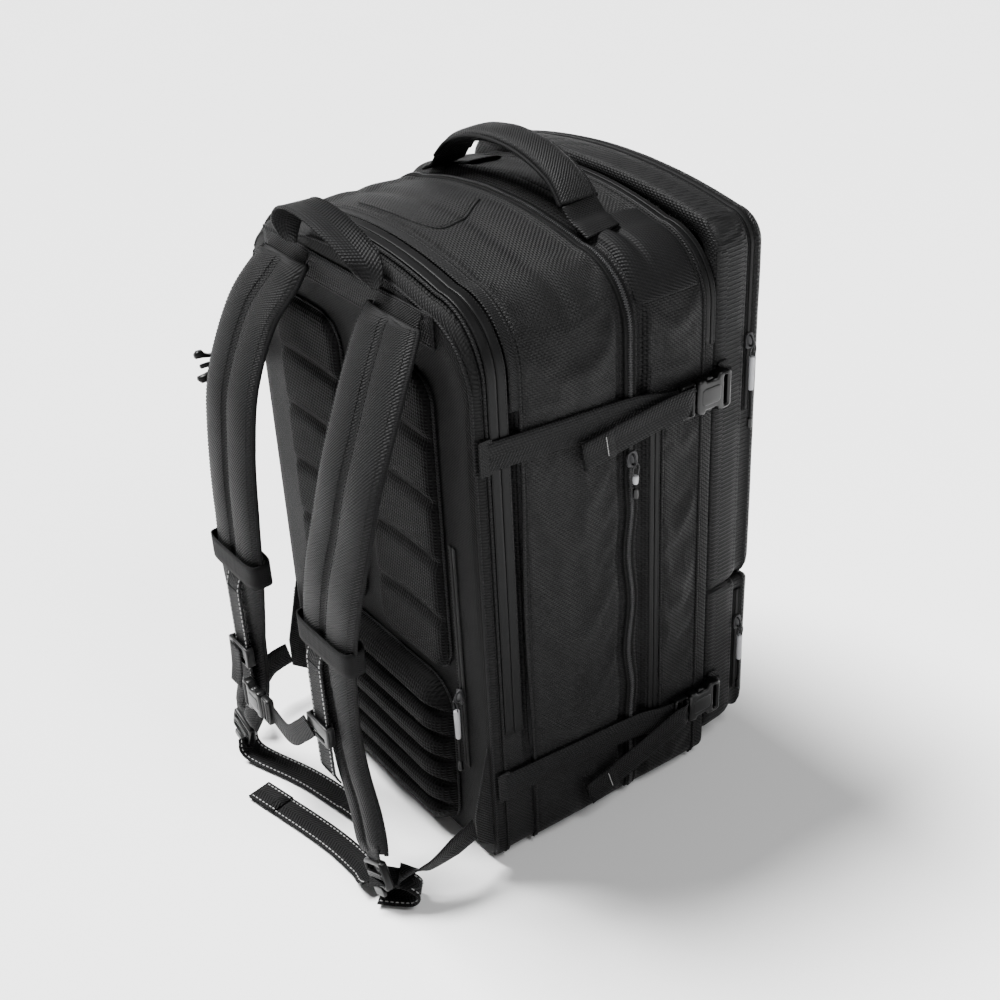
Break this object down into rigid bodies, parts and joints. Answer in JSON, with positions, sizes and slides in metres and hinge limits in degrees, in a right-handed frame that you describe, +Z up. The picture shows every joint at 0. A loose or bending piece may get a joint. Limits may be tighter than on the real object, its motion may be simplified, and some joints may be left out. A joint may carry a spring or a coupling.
{
  "type": "travel backpack",
  "caption": "Black clamshell travel backpack with harness straps, compression straps, coated zips and front pockets.",
  "frame": {"origin": "centre of the flat base of the body, on the ground", "axes": "+Z up, +Y towards the front pockets, harness and shoulder straps on -Y, +X is the side with the main zip"},
  "size_m": [0.3553, 0.4262, 0.5745],
  "materials": {
    "pack_cloth": "plain black pack cloth, fine weave",
    "twill": "black ballistic twill with a slight sheen",
    "mesh": "black air mesh",
    "coated_tape": "smooth coated zip tape, soft sheen",
    "zip_teeth": "black coil zip on tape",
    "webbing": "ribbed black webbing",
    "acetal": "moulded black buckle plastic",
    "slider_metal": "dark painted zip slider",
    "pull": "light grey moulded sleeve on a black cord",
    "sheet": "stiff black plastic sheet",
    "lining": "dark grey lining cloth"
  },
  "bodies": {
    "root": {"back_panel": "pack_cloth", "back_pads": "mesh", "lumbar_pad": "mesh", "frame_sheet": "sheet", "laptop_gusset": "pack_cloth", "laptop_coated_zip": "coated_tape", "laptop_sleeve": "lining", "rear_divider": "lining", "rear_shell": "pack_cloth", "base_board": "sheet", "main_zip_rear": "zip_teeth", "strap_yoke": "twill", "corner_tabs": "twill", "spine_hinge": "twill", "back_pocket_zip": "zip_teeth", "upper_webbing": "webbing", "lower_webbing": "webbing", "left_lower_webbing": "webbing", "left_lower_male": "acetal", "right_lower_strap": "webbing", "left_lower_strap": "webbing"},
    "front": {"front_shell": "pack_cloth", "mesh_pocket": "mesh", "upper_pocket": "pack_cloth", "lower_pocket": "pack_cloth", "front_coated_zips": "coated_tape", "main_zip_front": "zip_teeth", "pocket_zips": "zip_teeth", "handle_patches": "twill", "right_upper_female": "acetal", "right_lower_female": "acetal", "left_females": "acetal"},
    "top_handle": {"top_handle": "twill"},
    "hang_loop": {"hang_loop": "webbing"},
    "right_strap": {"right_pad": "twill", "right_strap_webbing": "webbing"},
    "right_ladder": {"right_ladder_lock": "acetal"},
    "left_strap": {"left_pad": "twill", "left_strap_webbing": "webbing"},
    "left_ladder": {"left_ladder_lock": "acetal"},
    "sternum": {"sternum_sliders": "acetal", "sternum_left_web": "webbing", "sternum_female": "acetal", "sternum_right_web": "webbing"},
    "sternum_male": {"sternum_male": "acetal"},
    "upper_buckle": {"right_upper_male": "acetal", "right_upper_tail": "webbing"},
    "lower_buckle": {"right_lower_male": "acetal", "right_lower_tail": "webbing"},
    "left_upper_strap": {"left_upper_webbing": "webbing", "left_upper_male": "acetal"},
    "main_slider": {"main_slider": "slider_metal"},
    "main_pull": {"main_pull": "pull"},
    "upper_pocket_slider": {"upper_pocket_slider": "slider_metal"},
    "upper_pocket_pull": {"upper_pocket_pull": "pull"},
    "lower_pocket_slider": {"lower_pocket_slider": "slider_metal"},
    "lower_pocket_pull": {"lower_pocket_pull": "pull"},
    "back_pocket_slider": {"back_pocket_slider": "slider_metal"},
    "back_pocket_pull": {"back_pocket_pull": "pull"},
    "laptop_slider": {"laptop_slider": "slider_metal"}
  },
  "joints": [
    {"name": "clamshell_open", "type": "hinge", "parent": "root", "child": "front", "pos_m": [-0.175, 0.0084, 0], "axis": [0, 0, 1], "range_deg": [0, 178]},
    {"name": "handle_flop", "type": "hinge", "parent": "front", "child": "top_handle", "pos_m": [0, 0.024, 0.531], "axis": [1, 0, 0], "range_deg": [-40, 40]},
    {"name": "hang_loop_flop", "type": "hinge", "parent": "root", "child": "hang_loop", "pos_m": [0, -0.147, 0.503], "axis": [1, 0, 0], "range_deg": [0, 55]},
    {"name": "right_strap_swing", "type": "hinge", "parent": "root", "child": "right_strap", "pos_m": [0, -0.146, 0.49], "axis": [-1, 0, 0], "range_deg": [0, 18], "deforming": ["right_lower_strap"]},
    {"name": "left_strap_swing", "type": "hinge", "parent": "root", "child": "left_strap", "pos_m": [0, -0.146, 0.49], "axis": [-1, 0, 0], "range_deg": [0, 18], "deforming": ["left_lower_strap"]},
    {"name": "right_ladder_tilt", "type": "hinge", "parent": "right_strap", "child": "right_ladder", "pos_m": [0.1292, -0.2372, 0.039], "axis": [-0.891, 0, -0.454], "range_deg": [0, 30]},
    {"name": "left_ladder_tilt", "type": "hinge", "parent": "left_strap", "child": "left_ladder", "pos_m": [-0.1074, -0.2349, 0.0385], "axis": [-0.9397, 0, 0.342], "range_deg": [0, 30]},
    {"name": "sternum_height", "type": "slide", "parent": "left_strap", "child": "sternum", "axis": [0, 0, 1], "range_m": [-0.03, 0.03]},
    {"name": "sternum_release", "type": "slide", "parent": "sternum", "child": "sternum_male", "axis": [1, 0, 0], "range_m": [0, 0.02], "deforming": ["sternum_right_web"]},
    {"name": "upper_buckle_release", "type": "slide", "parent": "root", "child": "upper_buckle", "axis": [0, -1, 0], "range_m": [0, 0.025], "deforming": ["upper_webbing"]},
    {"name": "lower_buckle_release", "type": "slide", "parent": "root", "child": "lower_buckle", "axis": [0, -1, 0], "range_m": [0, 0.025], "deforming": ["lower_webbing"]},
    {"name": "left_upper_strap_swing", "type": "hinge", "parent": "root", "child": "left_upper_strap", "pos_m": [-0.165, -0.141, 0.374], "axis": [0, 0, -1], "range_deg": [-12, 60]},
    {"name": "main_zip_slide", "type": "slide", "parent": "root", "child": "main_slider", "axis": [0, 0, -1], "range_m": [0, 0.2]},
    {"name": "main_pull_swing", "type": "hinge", "parent": "main_slider", "child": "main_pull", "pos_m": [0.1725, 0.008, 0.35], "axis": [1, 0, 0], "range_deg": [-35, 35]},
    {"name": "upper_pocket_zip_slide", "type": "slide", "parent": "front", "child": "upper_pocket_slider", "axis": [0, 0, 1], "range_m": [0, 0.055]},
    {"name": "upper_pocket_pull_swing", "type": "hinge", "parent": "upper_pocket_slider", "child": "upper_pocket_pull", "pos_m": [0.1655, 0.1385, 0.41], "axis": [1, 0, 0], "range_deg": [-8, 30]},
    {"name": "lower_pocket_zip_slide", "type": "slide", "parent": "front", "child": "lower_pocket_slider", "axis": [0, 0, 1], "range_m": [-0.03, 0.02]},
    {"name": "lower_pocket_pull_swing", "type": "hinge", "parent": "lower_pocket_slider", "child": "lower_pocket_pull", "pos_m": [0.1655, 0.1385, 0.13], "axis": [1, 0, 0], "range_deg": [-8, 30]},
    {"name": "back_pocket_zip_slide", "type": "slide", "parent": "root", "child": "back_pocket_slider", "axis": [0, 0, 1], "range_m": [0, 0.12]},
    {"name": "back_pocket_pull_swing", "type": "hinge", "parent": "back_pocket_slider", "child": "back_pocket_pull", "pos_m": [0.129, -0.1475, 0.165], "axis": [0, 1, 0], "range_deg": [-18, 8]},
    {"name": "laptop_zip_slide", "type": "slide", "parent": "root", "child": "laptop_slider", "axis": [0, 0, 1], "range_m": [0, 0.2]}
  ],
  "couplings": [
    {"joint": "left_strap_swing", "follows": "right_strap_swing", "ratio": 1}
  ]
}
